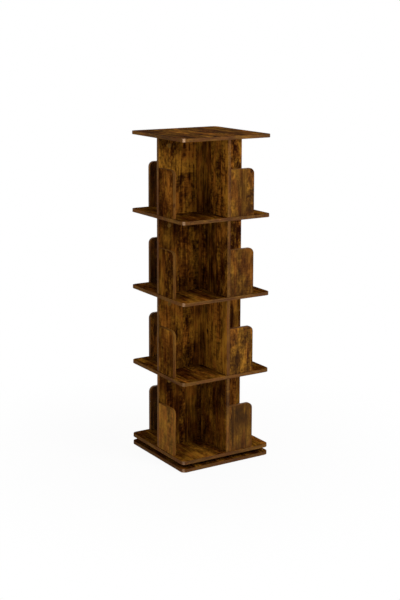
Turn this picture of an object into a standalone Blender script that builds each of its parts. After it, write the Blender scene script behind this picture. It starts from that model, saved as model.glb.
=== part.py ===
"""Revolving bookcase: square shelves and pinwheel walls that turn on a caged-ball turntable.

Metres, +Z up. The origin is on the floor, on the axis that everything above the base turns about.
The front is -Y. Every tier is one quarter repeated four times: a tall wall and a low book stop.
"""
import math

import bmesh
import bpy
from mathutils import Matrix, Vector

# Boards
SHELF_WIDTH = 0.450
SHELF_THICKNESS = 0.015
SHELF_CORNER_RADIUS = 0.022
BASE_THICKNESS = 0.015
TIER_COUNT = 4
TIER_CLEAR_HEIGHT = 0.333

# Tall walls and low book stops
WALL_THICKNESS = 0.015
WALL_INSET = 0.004
STOP_THICKNESS = 0.015
STOP_HEIGHT = 0.206
STOP_REACH = 0.136
STOP_CORNER_RADIUS = 0.025

# Fit of touching pieces
SEAT_GAP = 0.0003
BORE_FIT = 0.0003
CUT_OVERSHOOT = 0.002
ROOT_DEPTH = 0.003

# Feet under the base plate
FOOT_HEIGHT = 0.003
FOOT_RADIUS = 0.014
FOOT_INSET = 0.045

# Hardware at the top of a wall: cam bolt, dowel, and the cap that covers the cam
CAP_FROM_TOP = 0.034
CAP_FROM_END = 0.054
CAP_RADIUS = 0.0095
CAP_THICKNESS = 0.0008
BOLT_RADIUS = 0.0030
DOWEL_RADIUS = 0.0040
DOWEL_FROM_CENTRE = 0.050
BLIND_FLOOR = 0.0040

# Dowel between a stop and its wall
STOP_DOWEL_RADIUS = 0.0030
STOP_DOWEL_IN_WALL = 0.009
STOP_DOWEL_HEIGHT = 0.140

# Countersunk screws, driven up through each shelf
SCREW_RADIUS = 0.0025
SCREW_HEAD_RADIUS = 0.0047
SCREW_HEAD_HEIGHT = 0.0030
WALL_SCREW_FROM_END = 0.030
WALL_SCREW_FROM_CENTRE = 0.085
STOP_SCREW_FROM_END = 0.045

# Turntable between base plate and bottom deck
TURNTABLE_HEIGHT = 0.020
PLATE_THICKNESS = 0.0015
FLANGE_RADIUS = 0.150
FLANGE_WIDTH = 0.036
RAMP_WIDTH = 0.006
LIP_WIDTH = 0.004
BALL_RADIUS = 0.004
BALL_TRACK_RADIUS = 0.095
BALL_COUNT = 12
GROOVE_RADIUS = 0.0050
GROOVE_HALF_ANGLE = math.radians(50)
CAGE_THICKNESS = 0.001
CAGE_WIDTH = 0.017
CAGE_POCKET_PLAY = 0.0007

# King pin that ties the two race plates together, and the bush round it
PIN_RADIUS = 0.005
PIN_HEAD_RADIUS = 0.010
PIN_HEAD_HEIGHT = 0.0025
BOSS_RADIUS = 0.014
BUSH_RADIUS = 0.009

# Fixings of the race plates
FIXING_CIRCLE_RADIUS = 0.131
BASE_BOLT_RADIUS = 0.0025
BASE_BOLT_HEAD_RADIUS = 0.0048
BASE_BOLT_HEAD_HEIGHT = 0.0028
NUT_RADIUS = 0.0046
NUT_HEIGHT = 0.004
BOLT_END = 0.001
RACE_SCREW_RADIUS = 0.0020
RACE_SCREW_HEAD_RADIUS = 0.0040
RACE_SCREW_HEAD_HEIGHT = 0.0022
RACE_SCREW_TIP = 0.004
ACCESS_HOLE_RADIUS = 0.008

# Facets
CORNER_SEGMENTS = 6
HARDWARE_SIDES = 6
CAP_SIDES = 12
RACE_SIDES = 36
POCKET_SIDES = 10
PIN_SIDES = 16
FOOT_SIDES = 16

# Levels that follow from the sizes above
TIP_TO_X = Matrix.Rotation(math.pi / 2, 4, "Y")
QUARTERS = 4
SIDES = ("front", "right", "back", "left")
TIER_PITCH = TIER_CLEAR_HEIGHT + SHELF_THICKNESS
BASE_TOP = FOOT_HEIGHT + BASE_THICKNESS
DECK_BOTTOM = BASE_TOP + TURNTABLE_HEIGHT
DECK_TOP = DECK_BOTTOM + SHELF_THICKNESS
WALL_REACH = SHELF_WIDTH / 2 - WALL_INSET
WALL_MIDDLE = WALL_THICKNESS / 2
STOP_MIDDLE = -WALL_REACH + STOP_THICKNESS / 2
BLIND_DEPTH = SHELF_THICKNESS - BLIND_FLOOR
CAP_ALONG = -WALL_REACH + CAP_FROM_END
WALL_SCREWS_ALONG = (-WALL_REACH + WALL_SCREW_FROM_END, -WALL_SCREW_FROM_CENTRE)
STOP_SCREW_ACROSS = STOP_REACH - STOP_SCREW_FROM_END


def clear_scene():
    """Start from an empty scene."""
    for old in list(bpy.data.objects):
        bpy.data.objects.remove(old, do_unlink=True)


def new_collection(name):
    collection = bpy.data.collections.new(name)
    bpy.context.scene.collection.children.link(collection)
    return collection


def finish(name, colour, roughness, metallic=0.0):
    """A plain Principled material."""
    material = bpy.data.materials.new(name)
    material.use_nodes = True
    shader = material.node_tree.nodes["Principled BSDF"]
    shader.inputs["Base Color"].default_value = (*colour, 1.0)
    shader.inputs["Roughness"].default_value = roughness
    shader.inputs["Metallic"].default_value = metallic
    return material


def to_mesh(name, bm):
    bmesh.ops.recalc_face_normals(bm, faces=bm.faces)
    mesh = bpy.data.meshes.new(name)
    bm.to_mesh(mesh)
    bm.free()
    return mesh


def add_piece(name, mesh, material, parent=None, place=None):
    """Put a finished mesh into the model as one named object."""
    piece = bpy.data.objects.new(name, mesh)
    if not mesh.materials:
        mesh.materials.append(material)
    PARTS.objects.link(piece)
    piece.parent = parent
    if place is not None:
        piece.matrix_local = place
    return piece


def add_empty(name):
    """A pivot on the turning axis."""
    empty = bpy.data.objects.new(name, None)
    PARTS.objects.link(empty)
    return empty


def block(low, high):
    """A bmesh box between two corners."""
    bm = bmesh.new()
    bmesh.ops.create_cube(bm, size=1.0)
    size = Vector(high) - Vector(low)
    bmesh.ops.scale(bm, vec=size, verts=bm.verts)
    bmesh.ops.translate(bm, vec=(Vector(high) + Vector(low)) / 2, verts=bm.verts)
    return bm


def edges_along(bm, axis):
    """The edges that run along one axis, 0 for X, 1 for Y or 2 for Z."""
    found = []
    for edge in bm.edges:
        run = (edge.verts[1].co - edge.verts[0].co).normalized()
        if abs(run[axis]) > 0.99:
            found.append(edge)
    return found


def round_edges(bm, edges, radius):
    bmesh.ops.bevel(
        bm, geom=edges, offset=radius, segments=CORNER_SEGMENTS, profile=0.5, affect="EDGES", material=-1,
    )


def rod(radius, length, sides):
    """A closed cylinder that stands on the origin along +Z, its first corner at +X as on a turned piece."""
    bm = bmesh.new()
    bmesh.ops.create_cone(
        bm, cap_ends=True, segments=sides, radius1=radius, radius2=radius, depth=length,
        matrix=Matrix.Translation((0, 0, length / 2)) @ Matrix.Rotation(math.pi / 2, 4, "Z"),
    )
    return to_mesh("rod", bm)


def turned(name, profile, sides, wall=0.0):
    """Spin a profile of (radius, height) points about Z: a solid, or a pressed sheet with a wall."""
    bm = bmesh.new()
    points = [bm.verts.new((radius, 0.0, height)) for radius, height in profile]
    for first, second in zip(points, points[1:]):
        bm.edges.new((first, second))
    outline = bpy.data.meshes.new(name + "_outline")
    bm.to_mesh(outline)
    bm.free()
    blank = bpy.data.objects.new(name + "_blank", outline)
    CUTTERS.objects.link(blank)
    screw = blank.modifiers.new("spin", "SCREW")
    screw.axis = "Z"
    screw.steps = sides
    screw.render_steps = sides
    screw.use_merge_vertices = True
    screw.merge_threshold = 0.00001
    if wall:
        sheet = blank.modifiers.new("sheet", "SOLIDIFY")
        sheet.thickness = wall
        sheet.offset = 0.0
        sheet.use_even_offset = True
    mesh = evaluated_mesh(blank, name)
    bm = bmesh.new()
    bm.from_mesh(mesh)
    bmesh.ops.remove_doubles(bm, verts=bm.verts, dist=0.00001)
    bpy.data.meshes.remove(mesh)
    return to_mesh(name, bm)


def evaluated_mesh(blank, name):
    """The mesh that an object's modifiers give, after which the object itself is removed."""
    bpy.context.view_layer.update()
    graph = bpy.context.evaluated_depsgraph_get()
    mesh = bpy.data.meshes.new_from_object(blank.evaluated_get(graph))
    mesh.name = name
    bpy.data.objects.remove(blank, do_unlink=True)
    return mesh


def group(name, mesh, places):
    """Copies of one mesh at several places, in one mesh."""
    bm = bmesh.new()
    for place in places:
        copy = mesh.copy()
        copy.transform(place)
        bm.from_mesh(copy)
        bpy.data.meshes.remove(copy)
    return to_mesh(name, bm)


def combine(name, bm, joined=(), cut=()):
    """Join tools to a blank, then cut others from it. Each tool is a mesh and its places."""
    blank = bpy.data.objects.new(name + "_blank", to_mesh(name + "_blank", bm))
    CUTTERS.objects.link(blank)
    steps = [("UNION", *tool) for tool in joined] + [("DIFFERENCE", *tool) for tool in cut]
    for number, (operation, mesh, places) in enumerate(steps):
        tool = bpy.data.objects.new(f"{name}_tool_{number}", group(name + "_tool", mesh, places))
        CUTTERS.objects.link(tool)
        tool.hide_render = True
        tool.display_type = "WIRE"
        boolean = blank.modifiers.new(tool.name, "BOOLEAN")
        boolean.operation = operation
        boolean.solver = "EXACT"
        boolean.object = tool
    return evaluated_mesh(blank, name)


def opened(mesh):
    """A bmesh of a mesh that is not needed any more."""
    bm = bmesh.new()
    bm.from_mesh(mesh)
    bpy.data.meshes.remove(mesh)
    return bm


def at(x, y, z):
    return Matrix.Translation((x, y, z))


def quarter_turn(index):
    return Matrix.Rotation(index * math.pi / 2, 4, "Z")


def all_quarters(places):
    """Repeat places in the front quarter round the other three."""
    return [quarter_turn(index) @ place for index in range(QUARTERS) for place in places]


def tier_floor(tier):
    """Top face of the board that a tier stands on, tier 0 at the bottom."""
    return DECK_TOP + tier * TIER_PITCH


def smooth_round(mesh):
    mesh.shade_smooth()
    mesh.set_sharp_from_angle(angle=math.radians(35))


def countersunk_hole(name, head_radius, head_height, shank_radius, depth):
    """Cutter for a countersunk screw: it opens at height 0 and runs past the far face."""
    slope = (head_radius - shank_radius) / head_height
    mouth = head_radius + BORE_FIT + slope * CUT_OVERSHOOT
    throat = shank_radius + BORE_FIT
    throat_height = (mouth - throat) / slope - CUT_OVERSHOOT
    return turned(name, [
        (0.0, depth + CUT_OVERSHOOT),
        (throat, depth + CUT_OVERSHOOT),
        (throat, throat_height),
        (mouth, -CUT_OVERSHOOT),
        (0.0, -CUT_OVERSHOOT),
    ], HARDWARE_SIDES)


def screw_mesh():
    """A countersunk screw, from its head at the shelf's underside (height 0) to the panel above."""
    root = SHELF_THICKNESS + SEAT_GAP + ROOT_DEPTH
    return turned("screw", [
        (0.0, root),
        (SCREW_RADIUS, root),
        (SCREW_RADIUS, SEAT_GAP + SCREW_HEAD_HEIGHT),
        (SCREW_HEAD_RADIUS, SEAT_GAP),
        (0.0, SEAT_GAP),
    ], HARDWARE_SIDES)


def wall_screw_places(shelf_bottom):
    return [at(WALL_MIDDLE, along, shelf_bottom) for along in WALL_SCREWS_ALONG]


def stop_screw_places(shelf_bottom):
    return [at(STOP_SCREW_ACROSS, STOP_MIDDLE, shelf_bottom)]


# Boards

def board_blank(thickness, bottom):
    half = SHELF_WIDTH / 2
    bm = block((-half, -half, bottom), (half, half, bottom + thickness))
    round_edges(bm, edges_along(bm, 2), SHELF_CORNER_RADIUS)
    return bm


def shelf_mesh(name, walls_above, walls_below, extra=()):
    """A shelf with its underside at height 0, bored for the walls above and below it."""
    cutters = list(extra)
    if walls_above:
        screw_hole = countersunk_hole(
            "screw_hole", SCREW_HEAD_RADIUS, SCREW_HEAD_HEIGHT, SCREW_RADIUS, SHELF_THICKNESS,
        )
        cutters.append((screw_hole, all_quarters(wall_screw_places(0.0) + stop_screw_places(0.0))))
    if walls_below:
        bolt_bore = rod(BOLT_RADIUS + BORE_FIT, BLIND_DEPTH + CUT_OVERSHOOT, HARDWARE_SIDES)
        dowel_bore = rod(DOWEL_RADIUS + BORE_FIT, BLIND_DEPTH + CUT_OVERSHOOT, HARDWARE_SIDES)
        cutters.append((bolt_bore, all_quarters([at(WALL_MIDDLE, CAP_ALONG, -CUT_OVERSHOOT)])))
        cutters.append((dowel_bore, all_quarters([at(WALL_MIDDLE, -DOWEL_FROM_CENTRE, -CUT_OVERSHOOT)])))
    return combine(name, board_blank(SHELF_THICKNESS, 0.0), cut=cutters)


# Walls and book stops, with the hardware that is fixed in them

def wall_mesh():
    """The front wall of a tier whose floor is at height 0."""
    low = (0.0, -WALL_REACH, SEAT_GAP)
    high = (WALL_THICKNESS, -SEAT_GAP, TIER_CLEAR_HEIGHT - SEAT_GAP)
    peg_root = TIER_CLEAR_HEIGHT - SEAT_GAP - ROOT_DEPTH
    peg_length = TIER_CLEAR_HEIGHT + BLIND_DEPTH - SEAT_GAP - peg_root
    bolt = rod(BOLT_RADIUS, peg_length, HARDWARE_SIDES)
    dowel = rod(DOWEL_RADIUS, peg_length, HARDWARE_SIDES)
    cap = rod(CAP_RADIUS, CAP_THICKNESS + ROOT_DEPTH, CAP_SIDES)
    cap.transform(TIP_TO_X)
    stop_bore = rod(STOP_DOWEL_RADIUS + BORE_FIT, STOP_DOWEL_IN_WALL + BORE_FIT + CUT_OVERSHOOT, HARDWARE_SIDES)
    stop_bore.transform(TIP_TO_X)
    stop_bore_floor = WALL_THICKNESS - STOP_DOWEL_IN_WALL - BORE_FIT
    return combine(
        "wall", block(low, high),
        joined=[
            (bolt, [at(WALL_MIDDLE, CAP_ALONG, peg_root)]),
            (dowel, [at(WALL_MIDDLE, -DOWEL_FROM_CENTRE, peg_root)]),
            (cap, [at(WALL_THICKNESS - ROOT_DEPTH, CAP_ALONG, TIER_CLEAR_HEIGHT - CAP_FROM_TOP)]),
            (screw_mesh(), wall_screw_places(-SHELF_THICKNESS)),
        ],
        cut=[(stop_bore, [at(stop_bore_floor, STOP_MIDDLE, STOP_DOWEL_HEIGHT)])],
    )


def stop_mesh():
    """The front book stop of a tier whose floor is at height 0, rounded at its free top corner."""
    low = (WALL_THICKNESS + SEAT_GAP, -WALL_REACH, SEAT_GAP)
    high = (STOP_REACH, -WALL_REACH + STOP_THICKNESS, STOP_HEIGHT)
    bm = block(low, high)
    middle = (Vector(low) + Vector(high)) / 2
    free_corner = []
    for edge in edges_along(bm, 1):
        if edge.verts[0].co.x > middle.x and edge.verts[0].co.z > middle.z:
            free_corner.append(edge)
    round_edges(bm, free_corner, STOP_CORNER_RADIUS)
    dowel = rod(STOP_DOWEL_RADIUS, STOP_DOWEL_IN_WALL + ROOT_DEPTH, HARDWARE_SIDES)
    dowel.transform(TIP_TO_X)
    return combine(
        "stop", bm,
        joined=[
            (dowel, [at(WALL_THICKNESS - STOP_DOWEL_IN_WALL, STOP_MIDDLE, STOP_DOWEL_HEIGHT)]),
            (screw_mesh(), stop_screw_places(-SHELF_THICKNESS)),
        ],
    )


# Turntable

def race_profile():
    """Middle line of the lower race plate, from its flange to its centre hole, above the base top."""
    sheet = SEAT_GAP + PLATE_THICKNESS / 2
    groove = GROOVE_RADIUS + PLATE_THICKNESS / 2
    groove_centre = TURNTABLE_HEIGHT / 2 - BALL_RADIUS - SEAT_GAP + GROOVE_RADIUS
    steps = 4
    arc = []
    for step in range(steps + 1):
        angle = GROOVE_HALF_ANGLE * (1 - 2 * step / steps)
        arc.append((BALL_TRACK_RADIUS + groove * math.sin(angle), groove_centre - groove * math.cos(angle)))
    lip_height = arc[0][1]
    outer_lip = arc[0][0] + LIP_WIDTH
    inner_lip = arc[-1][0] - LIP_WIDTH
    boss_height = sheet + SEAT_GAP + PIN_HEAD_HEIGHT + SEAT_GAP
    return [
        (FLANGE_RADIUS, sheet),
        (FLANGE_RADIUS - FLANGE_WIDTH, sheet),
        (outer_lip, lip_height),
        *arc,
        (inner_lip, lip_height),
        (inner_lip - RAMP_WIDTH, sheet),
        (BOSS_RADIUS + RAMP_WIDTH, sheet),
        (BOSS_RADIUS, boss_height),
        (PIN_RADIUS + BORE_FIT, boss_height),
    ]


def boss_face():
    """Height of the lower boss's outer face above the base top."""
    return race_profile()[-1][1] + PLATE_THICKNESS / 2


def on_fixing_circle(start, height):
    """Four places round the fixing circle, the first at an angle from +X."""
    places = []
    for index in range(QUARTERS):
        turn = Matrix.Rotation(start + index * math.pi / 2, 4, "Z")
        places.append(turn @ at(FIXING_CIRCLE_RADIUS, 0.0, height))
    return places


def race_mesh(name, fixing, fixing_start):
    """A pressed race plate lying on height 0, with the four fixings that clamp it."""
    plate = turned(name, race_profile(), RACE_SIDES, wall=PLATE_THICKNESS)
    return combine(name, opened(plate), joined=[(fixing, on_fixing_circle(fixing_start, 0.0))])


def base_bolt_mesh():
    """A countersunk bolt up through the base plate, whose top is height 0, with its nut on the flange."""
    flange_middle = SEAT_GAP + PLATE_THICKNESS / 2
    nut_top = SEAT_GAP + PLATE_THICKNESS + NUT_HEIGHT
    head = SEAT_GAP - BASE_THICKNESS
    return turned("base_bolt", [
        (0.0, nut_top + BOLT_END),
        (BASE_BOLT_RADIUS, nut_top + BOLT_END),
        (BASE_BOLT_RADIUS, nut_top),
        (NUT_RADIUS, nut_top),
        (NUT_RADIUS, flange_middle),
        (BASE_BOLT_RADIUS, flange_middle),
        (BASE_BOLT_RADIUS, head + BASE_BOLT_HEAD_HEIGHT),
        (BASE_BOLT_HEAD_RADIUS, head),
        (0.0, head),
    ], HARDWARE_SIDES)


def race_screw_mesh():
    """A pan-head screw through the flange, pointing down from height 0, where the wood begins."""
    flange_middle = SEAT_GAP + PLATE_THICKNESS / 2
    head_top = SEAT_GAP + PLATE_THICKNESS + RACE_SCREW_HEAD_HEIGHT
    point = SEAT_GAP - BLIND_DEPTH
    return turned("race_screw", [
        (0.0, head_top),
        (RACE_SCREW_HEAD_RADIUS, head_top),
        (RACE_SCREW_HEAD_RADIUS, flange_middle),
        (RACE_SCREW_RADIUS, flange_middle),
        (RACE_SCREW_RADIUS, point + RACE_SCREW_TIP),
        (0.0, point),
    ], HARDWARE_SIDES)


def tube(name, inner, outer, bottom, top, sides):
    return turned(name, [
        (inner, top),
        (outer, top),
        (outer, bottom),
        (inner, bottom),
        (inner, top),
    ], sides)


def ball_places(height):
    places = []
    for index in range(BALL_COUNT):
        turn = Matrix.Rotation(2 * math.pi * index / BALL_COUNT, 4, "Z")
        places.append(turn @ at(BALL_TRACK_RADIUS, 0.0, height))
    return places


def cage_mesh():
    """A flat ring at mid height, with a pocket for each ball."""
    inner = BALL_TRACK_RADIUS - CAGE_WIDTH / 2
    bottom = (TURNTABLE_HEIGHT - CAGE_THICKNESS) / 2
    ring = tube("ball_cage", inner, inner + CAGE_WIDTH, bottom, bottom + CAGE_THICKNESS, RACE_SIDES)
    pocket = rod(BALL_RADIUS + CAGE_POCKET_PLAY, CAGE_THICKNESS + 2 * CUT_OVERSHOOT, POCKET_SIDES)
    return combine("ball_cage", opened(ring), cut=[(pocket, ball_places(bottom - CUT_OVERSHOOT))])


def ball_mesh():
    bm = bmesh.new()
    bmesh.ops.create_icosphere(bm, subdivisions=2, radius=BALL_RADIUS)
    return to_mesh("bearing_ball", bm)


def king_pin_mesh():
    """A rivet on height 0: a head under the lower boss, a shank, and a head over the upper boss."""
    lower_head = 2 * SEAT_GAP
    upper_head = TURNTABLE_HEIGHT - lower_head
    return turned("king_pin", [
        (0.0, upper_head),
        (PIN_HEAD_RADIUS, upper_head),
        (PIN_HEAD_RADIUS, upper_head - PIN_HEAD_HEIGHT),
        (PIN_RADIUS, upper_head - PIN_HEAD_HEIGHT),
        (PIN_RADIUS, lower_head + PIN_HEAD_HEIGHT),
        (PIN_HEAD_RADIUS, lower_head + PIN_HEAD_HEIGHT),
        (PIN_HEAD_RADIUS, lower_head),
        (0.0, lower_head),
    ], PIN_SIDES)


# The three bodies

def build_base(pivot):
    """What stands still: feet, base plate, lower race with its bolts, king pin and bush."""
    pad = rod(FOOT_RADIUS, FOOT_HEIGHT - SEAT_GAP, FOOT_SIDES)
    smooth_round(pad)
    foot_place = SHELF_WIDTH / 2 - FOOT_INSET
    for number, place in enumerate(all_quarters([at(foot_place, -foot_place, 0.0)]), start=1):
        add_piece(f"foot_pad_{number}", pad, FELT, pivot, place)

    bolt_hole = countersunk_hole(
        "bolt_hole", BASE_BOLT_HEAD_RADIUS, BASE_BOLT_HEAD_HEIGHT, BASE_BOLT_RADIUS, BASE_THICKNESS,
    )
    access_hole = rod(ACCESS_HOLE_RADIUS, BASE_THICKNESS + 2 * CUT_OVERSHOOT, FOOT_SIDES)
    access_place = on_fixing_circle(math.pi / 4, FOOT_HEIGHT - CUT_OVERSHOOT)[0]
    base = combine("base_plate", board_blank(BASE_THICKNESS, FOOT_HEIGHT), cut=[
        (bolt_hole, on_fixing_circle(0.0, FOOT_HEIGHT)),
        (access_hole, [access_place]),
    ])
    add_piece("base_plate", base, LAMINATE, pivot)

    on_base = at(0.0, 0.0, BASE_TOP)
    race = race_mesh("lower_race", base_bolt_mesh(), 0.0)
    smooth_round(race)
    add_piece("lower_race", race, ZINC_SHEET, pivot, on_base)
    pin = king_pin_mesh()
    smooth_round(pin)
    add_piece("king_pin", pin, STEEL, pivot, on_base)
    bush_bottom = boss_face() + SEAT_GAP
    bush = tube(
        "centre_bush", PIN_RADIUS + BORE_FIT, BUSH_RADIUS, bush_bottom, TURNTABLE_HEIGHT - bush_bottom, PIN_SIDES,
    )
    smooth_round(bush)
    add_piece("centre_bush", bush, NYLON, pivot, on_base)


def build_ball_ring(pivot):
    """The cage and its balls, which roll round at half the speed of the shelves."""
    add_piece("ball_cage", cage_mesh(), NYLON, pivot, at(0.0, 0.0, BASE_TOP))
    ball = ball_mesh()
    smooth_round(ball)
    for number, place in enumerate(ball_places(BASE_TOP + TURNTABLE_HEIGHT / 2), start=1):
        add_piece(f"bearing_ball_{number}", ball, STEEL, pivot, place)


def build_boards(pivot):
    """The upper race under the bottom deck, the three shelves and the top board."""
    race = race_mesh("upper_race", race_screw_mesh(), math.pi / 4)
    race.transform(Matrix.Rotation(math.pi, 4, "X"))
    smooth_round(race)
    add_piece("upper_race", race, ZINC_SHEET, pivot, at(0.0, 0.0, DECK_BOTTOM))

    pilot = rod(RACE_SCREW_RADIUS + BORE_FIT, BLIND_DEPTH + CUT_OVERSHOOT, HARDWARE_SIDES)
    pilots = (pilot, on_fixing_circle(math.pi / 4, -CUT_OVERSHOOT))
    deck = shelf_mesh("bottom_deck", walls_above=True, walls_below=False, extra=(pilots,))
    add_piece("bottom_deck", deck, LAMINATE, pivot, at(0.0, 0.0, DECK_BOTTOM))
    shelf = shelf_mesh("shelf", walls_above=True, walls_below=True)
    for tier in range(1, TIER_COUNT):
        add_piece(f"shelf_{tier}", shelf, LAMINATE, pivot, at(0.0, 0.0, tier_floor(tier) - SHELF_THICKNESS))
    top = shelf_mesh("top_board", walls_above=False, walls_below=True)
    add_piece("top_board", top, LAMINATE, pivot, at(0.0, 0.0, tier_floor(TIER_COUNT) - SHELF_THICKNESS))


def build_walls(pivot):
    """Sixteen walls and sixteen book stops, each turned to its side of the bookcase."""
    wall = wall_mesh()
    stop = stop_mesh()
    for tier in range(TIER_COUNT):
        for index, side in enumerate(SIDES):
            place = quarter_turn(index) @ at(0.0, 0.0, tier_floor(tier))
            add_piece(f"tier{tier + 1}_{side}_wall", wall, LAMINATE, pivot, place)
            add_piece(f"tier{tier + 1}_{side}_stop", stop, LAMINATE, pivot, place)


clear_scene()
PARTS = new_collection("revolving_bookcase")
CUTTERS = new_collection("cutters")

LAMINATE = finish("rustic_laminate", (0.16, 0.080, 0.032), 0.55)
STEEL = finish("bright_steel", (0.62, 0.62, 0.60), 0.3, 1.0)
ZINC_SHEET = finish("zinc_plated_sheet", (0.50, 0.50, 0.49), 0.4, 1.0)
NYLON = finish("black_nylon", (0.03, 0.03, 0.03), 0.5)
FELT = finish("grey_felt", (0.10, 0.10, 0.10), 0.95)

build_base(add_empty("base"))
build_ball_ring(add_empty("ball_ring"))
carousel = add_empty("carousel")
build_boards(carousel)
build_walls(carousel)
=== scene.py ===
# %% [markdown]
# # A revolving bookcase in rustic brown laminate
#
# The bookcase is flat-pack furniture: particle board, 15 mm thick, with a printed wood grain on
# its faces and a thin plastic band round its edges. Five square shelves are stacked on tall walls
# that stand like a pinwheel, and everything above the base plate turns on a ball race. The CAD
# model gives the sizes. This lesson gives each piece its real edges and its real finish.

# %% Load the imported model
import math
import random

import bmesh
import bpy
from mathutils import Matrix, Vector


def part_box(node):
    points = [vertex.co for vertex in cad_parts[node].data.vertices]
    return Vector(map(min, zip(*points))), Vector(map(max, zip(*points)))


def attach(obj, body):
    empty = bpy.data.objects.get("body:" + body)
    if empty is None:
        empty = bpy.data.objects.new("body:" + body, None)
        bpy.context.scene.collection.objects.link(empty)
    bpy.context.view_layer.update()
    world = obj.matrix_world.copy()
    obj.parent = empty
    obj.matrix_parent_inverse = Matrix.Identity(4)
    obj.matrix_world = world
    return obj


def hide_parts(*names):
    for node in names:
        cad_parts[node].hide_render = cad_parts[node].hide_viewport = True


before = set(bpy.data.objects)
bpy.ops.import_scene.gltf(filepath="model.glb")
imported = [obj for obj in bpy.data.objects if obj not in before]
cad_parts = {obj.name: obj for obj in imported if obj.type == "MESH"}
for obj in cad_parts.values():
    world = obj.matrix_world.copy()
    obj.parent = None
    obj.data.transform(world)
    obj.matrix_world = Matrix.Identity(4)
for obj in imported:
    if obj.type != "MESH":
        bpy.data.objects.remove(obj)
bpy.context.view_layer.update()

# %% [markdown]
# ## Sizes, read from the CAD
#
# Nothing is measured twice. A node's box gives the thickness of a board or the level of a shelf,
# so a piece that is made here lands exactly where the CAD has it, even after the CAD changes.

# %% Levels and thicknesses
SIDES = ("front", "right", "back", "left")
SHELVES = ("bottom_deck", "shelf_1", "shelf_2", "shelf_3", "top_board")
DECK_LOW, DECK_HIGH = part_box("bottom_deck")
HALF_WIDTH = DECK_HIGH.x
BOARD = DECK_HIGH.z - DECK_LOW.z
TIER_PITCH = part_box("shelf_1")[1].z - DECK_HIGH.z
TIER_CLEAR = TIER_PITCH - BOARD
BASE_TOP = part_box("base_plate")[1].z
CORNER_RADIUS = 0.022
print(f"boards {BOARD * 1000:.1f} mm thick, tiers every {TIER_PITCH * 1000:.1f} mm")

# %% [markdown]
# ## Camera
#
# A product photographer stands well back with a long lens, and keeps the camera nearly level so
# that the walls stay upright, then shifts the frame down. Lens, distance and direction here come
# from matching the corners of all the boards, so the shelves overlap as they do in the picture.

# %% Place the camera
PICTURE_HEIGHT = 600
FOCAL_PIXELS = 1213.9
CENTRE_ROW = 200
DISTANCE = 5.3527
AZIMUTH, ELEVATION, ROLL = math.radians(-32.32), math.radians(8.49), math.radians(0.19)
AIM = Vector((-0.0004, 0.0002, 1.1448))

camera_data = bpy.data.cameras.new("camera")
camera_data.lens = FOCAL_PIXELS * camera_data.sensor_width / PICTURE_HEIGHT
camera_data.shift_y = (CENTRE_ROW - PICTURE_HEIGHT / 2) / PICTURE_HEIGHT
camera = bpy.data.objects.new("camera", camera_data)
bpy.context.scene.collection.objects.link(camera)
bpy.context.scene.camera = camera

towards_camera = Vector((
    math.sin(AZIMUTH) * math.cos(ELEVATION),
    -math.cos(AZIMUTH) * math.cos(ELEVATION),
    math.sin(ELEVATION),
))
level_right = Vector((math.cos(AZIMUTH), math.sin(AZIMUTH), 0.0))
upright = towards_camera.cross(level_right)
tilted_right = level_right * math.cos(ROLL) + upright * math.sin(ROLL)
tilted_up = upright * math.cos(ROLL) - level_right * math.sin(ROLL)
turn = Matrix((tilted_right, tilted_up, towards_camera)).transposed().to_4x4()
camera.matrix_world = Matrix.Translation(AIM + towards_camera * DISTANCE) @ turn
print(f"lens {camera_data.lens:.1f} mm, shift {camera_data.shift_y:.3f}")

# %% [markdown]
# ## A small kit for node trees
#
# Light, floor and finishes are all node trees, and a procedural wood takes many nodes. A few
# helpers keep the recipes readable. One adds a node and sets its values, one wires sockets, one
# opens a node group with named inputs and outputs, which is how an effect is shared between
# materials, and one starts a finish.

# %% Nodes, wires, groups and finishes
def add_node(tree, kind, label, **values):
    """Add a node, then set its settings by attribute name and its inputs by a dict."""
    node = tree.nodes.new(kind)
    node.label = label
    inputs = values.pop("inputs", {})
    for name, value in values.items():
        setattr(node, name, value)
    for name, value in inputs.items():
        node.inputs[name].default_value = value
    return node


def wire(tree, *pairs):
    for source, target in pairs:
        tree.links.new(source, target)


def new_group(name, inputs, outputs):
    """A shader node group. Each socket is a name, a kind and, for inputs, a first value."""
    group = bpy.data.node_groups.new(name, "ShaderNodeTree")
    for label, kind, first in inputs:
        socket = group.interface.new_socket(label, in_out="INPUT", socket_type=kind)
        if first is not None:
            socket.default_value = first
    for label, kind in outputs:
        group.interface.new_socket(label, in_out="OUTPUT", socket_type=kind)
    start = group.nodes.new("NodeGroupInput")
    end = group.nodes.new("NodeGroupOutput")
    return group, start, end


def new_finish(name, specular=0.5, metallic=0.0):
    """A new material, with its node tree and its Principled shader."""
    material = bpy.data.materials.new(name)
    material.use_nodes = True
    shader = material.node_tree.nodes["Principled BSDF"]
    shader.inputs["Specular IOR Level"].default_value = specular
    shader.inputs["Metallic"].default_value = metallic
    return material, material.node_tree, shader


print("first helpers ready")

# %% [markdown]
# The other helpers are the steps that come back everywhere: the place of a shaded point and its
# three axes, arithmetic, a smooth remap, a scaled place, noise, and a ramp of colours. Each takes
# sockets and gives one, so a recipe reads like a sum.

# %% Places, sums, noise and ramps
def object_place(tree):
    """The place of a shaded point, in metres. All pieces share one origin."""
    return tree.nodes.new("ShaderNodeTexCoord").outputs["Object"]


def axes_of(tree, place):
    """The X, Y and Z of a place."""
    parts = add_node(tree, "ShaderNodeSeparateXYZ", "place in metres")
    wire(tree, (place, parts.inputs[0]))
    return parts.outputs[:]


def arithmetic(tree, operation, first, second):
    """A Math node between two sockets or numbers."""
    node = add_node(tree, "ShaderNodeMath", operation.lower(), operation=operation)
    for slot, value in enumerate((first, second)):
        if isinstance(value, (int, float)):
            node.inputs[slot].default_value = value
        else:
            tree.links.new(value, node.inputs[slot])
    return node.outputs[0]


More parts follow.
